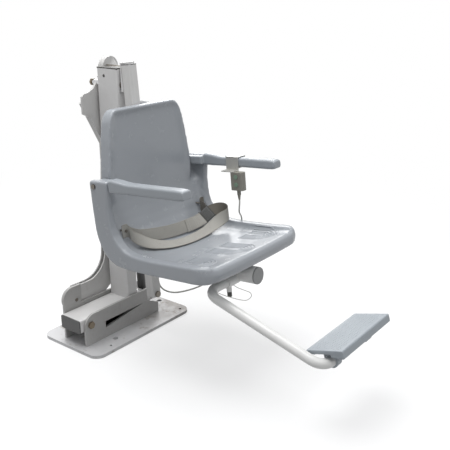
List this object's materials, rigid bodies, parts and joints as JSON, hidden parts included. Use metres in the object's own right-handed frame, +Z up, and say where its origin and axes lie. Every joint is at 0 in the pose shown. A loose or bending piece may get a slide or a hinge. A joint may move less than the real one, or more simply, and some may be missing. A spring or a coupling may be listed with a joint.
{
  "type": "pool lift",
  "caption": "Fixed pool lift: anchored base, parallel lift arm with actuator, moulded seat with flip-up armrests, lap belt, handset and footrest.",
  "frame": {"origin": "centre of the base plate's underside", "axes": "+Z up; the sitter faces -Y; +X is the sitter's left and the pool lies towards -X"},
  "size_m": [0.5763, 1.2019, 1.027],
  "materials": {
    "steel_plate": "polished stainless steel with brushing marks",
    "cheek_steel": "satin stainless steel",
    "arm_paint": "smooth light grey powder coat",
    "link_paint": "mid grey powder coat",
    "bronze": "dark aged bronze",
    "bright_steel": "turned steel",
    "dark_steel": "dark oxidised steel",
    "dark_plastic": "dark grey moulded plastic",
    "rubber": "black rubber",
    "seat_plastic": "blue-grey rotomoulded plastic with a slight sheen",
    "pad_plastic": "blue-grey plastic with a speckled non-slip top",
    "box_plastic": "light grey moulded plastic",
    "handset_plastic": "grey moulded plastic",
    "button_green": "green rubber",
    "webbing": "taupe-grey woven webbing",
    "cord": "beige-grey cord jacket",
    "pin_black": "black plastic knob"
  },
  "bodies": {
    "base": {"base_plate": "steel_plate", "near_cheek": "cheek_steel", "rear_cheek": "cheek_steel", "beam_rest": "rubber", "lift_pivot_shaft": "bright_steel", "lift_pivot_nuts": "bronze", "link_pivot_pin": "dark_steel"},
    "arm": {"arm_beam": "arm_paint", "beam_end_cap": "dark_plastic", "arm_mast": "arm_paint", "lift_bush": "bronze", "mast_bush": "bronze", "actuator_pin": "dark_steel"},
    "link": {"link_plates": "link_paint", "link_tube": "link_paint", "link_head_plate": "link_paint", "link_head_boss": "link_paint", "actuator_bracket": "link_paint"},
    "actuator_body": {"actuator_body": "bright_steel"},
    "actuator_rod": {"actuator_rod": "bright_steel"},
    "hanger": {"hanger_tube": "arm_paint", "hanger_cap": "dark_plastic", "pivot_bracket": "arm_paint", "hanger_shaft": "bright_steel", "hanger_shaft_nut": "bronze", "link_top_pin": "dark_steel", "hanger_bolt": "dark_steel", "seat_tube": "arm_paint", "seat_tube_cap": "dark_plastic", "seat_rails": "dark_steel", "seat_shell": "seat_plastic", "armrest_pins": "dark_steel", "control_box": "box_plastic", "cord_gland": "dark_plastic", "footrest_socket": "arm_paint", "footrest_tube": "arm_paint", "belt_right": "webbing", "belt_front": "webbing", "belt_left": "webbing", "belt_buckle": "dark_plastic", "belt_anchors": "dark_steel", "handset_cord": "cord", "pin_lanyard": "cord"},
    "armrest_right": {"armrest_right": "seat_plastic", "right_knuckle": "seat_plastic"},
    "armrest_left": {"armrest_left": "seat_plastic", "left_knuckle": "seat_plastic", "handset_holder": "handset_plastic", "handset": "handset_plastic"},
    "button_up": {"button_up": "button_green"},
    "button_down": {"button_down": "button_green"},
    "battery": {"battery_pack": "box_plastic"},
    "pull_pin": {"pull_pin": "pin_black"},
    "foot_pad": {"foot_pad": "pad_plastic", "foot_pad_clamps": "pad_plastic"}
  },
  "joints": [
    {"name": "lift_arm", "type": "hinge", "parent": "base", "child": "arm", "pos_m": [-0.198, 0, 0.092], "axis": [0, -1, 0], "range_deg": [0, 110]},
    {"name": "levelling_link", "type": "hinge", "parent": "base", "child": "link", "pos_m": [-0.162, 0, 0.147], "axis": [0, -1, 0], "range_deg": [-1, 112]},
    {"name": "seat_level", "type": "hinge", "parent": "arm", "child": "hanger", "pos_m": [0.032, 0, 0.937], "axis": [0, -1, 0], "range_deg": [-112, 1]},
    {"name": "actuator_tilt", "type": "hinge", "parent": "arm", "child": "actuator_body", "pos_m": [0.134, 0, 0.085], "axis": [0, -1, 0], "range_deg": [-2, 2]},
    {"name": "actuator_stroke", "type": "slide", "parent": "actuator_body", "child": "actuator_rod", "axis": [-0.0665, 0, 0.9978], "range_m": [-0.11, 0.001]},
    {"name": "armrest_right_flip", "type": "hinge", "parent": "hanger", "child": "armrest_right", "pos_m": [-0.186, -0.15791, 0.64031], "axis": [-1, 0, 0], "range_deg": [0, 90]},
    {"name": "armrest_left_flip", "type": "hinge", "parent": "hanger", "child": "armrest_left", "pos_m": [0.258, -0.15791, 0.64031], "axis": [-1, 0, 0], "range_deg": [0, 90]},
    {"name": "button_up_press", "type": "slide", "parent": "armrest_left", "child": "button_up", "axis": [1, 0, 0], "range_m": [0, 0.0015], "stiffness_N_per_m": 600, "springref_m": -0.001},
    {"name": "button_down_press", "type": "slide", "parent": "armrest_left", "child": "button_down", "axis": [1, 0, 0], "range_m": [0, 0.0015], "stiffness_N_per_m": 600, "springref_m": -0.001},
    {"name": "battery_lift", "type": "slide", "parent": "hanger", "child": "battery", "axis": [0, 0.0906, 0.9959], "range_m": [0, 0.08]},
    {"name": "pin_pull", "type": "slide", "parent": "hanger", "child": "pull_pin", "axis": [0, -0.0906, -0.9959], "range_m": [0, 0.016], "stiffness_N_per_m": 500, "springref_m": -0.01},
    {"name": "foot_pad_flip", "type": "hinge", "parent": "hanger", "child": "foot_pad", "pos_m": [0.036, -0.99441, 0.2204], "axis": [-1, 0, 0], "range_deg": [0, 90]}
  ],
  "couplings": [
    {"joint": "levelling_link", "follows": "lift_arm", "ratio": 1},
    {"joint": "seat_level", "follows": "lift_arm", "ratio": -1},
    {"joint": "actuator_tilt", "follows": "lift_arm", "ratio": 0.00413},
    {"joint": "actuator_stroke", "follows": "lift_arm", "m_per_rad": -0.05605}
  ]
}
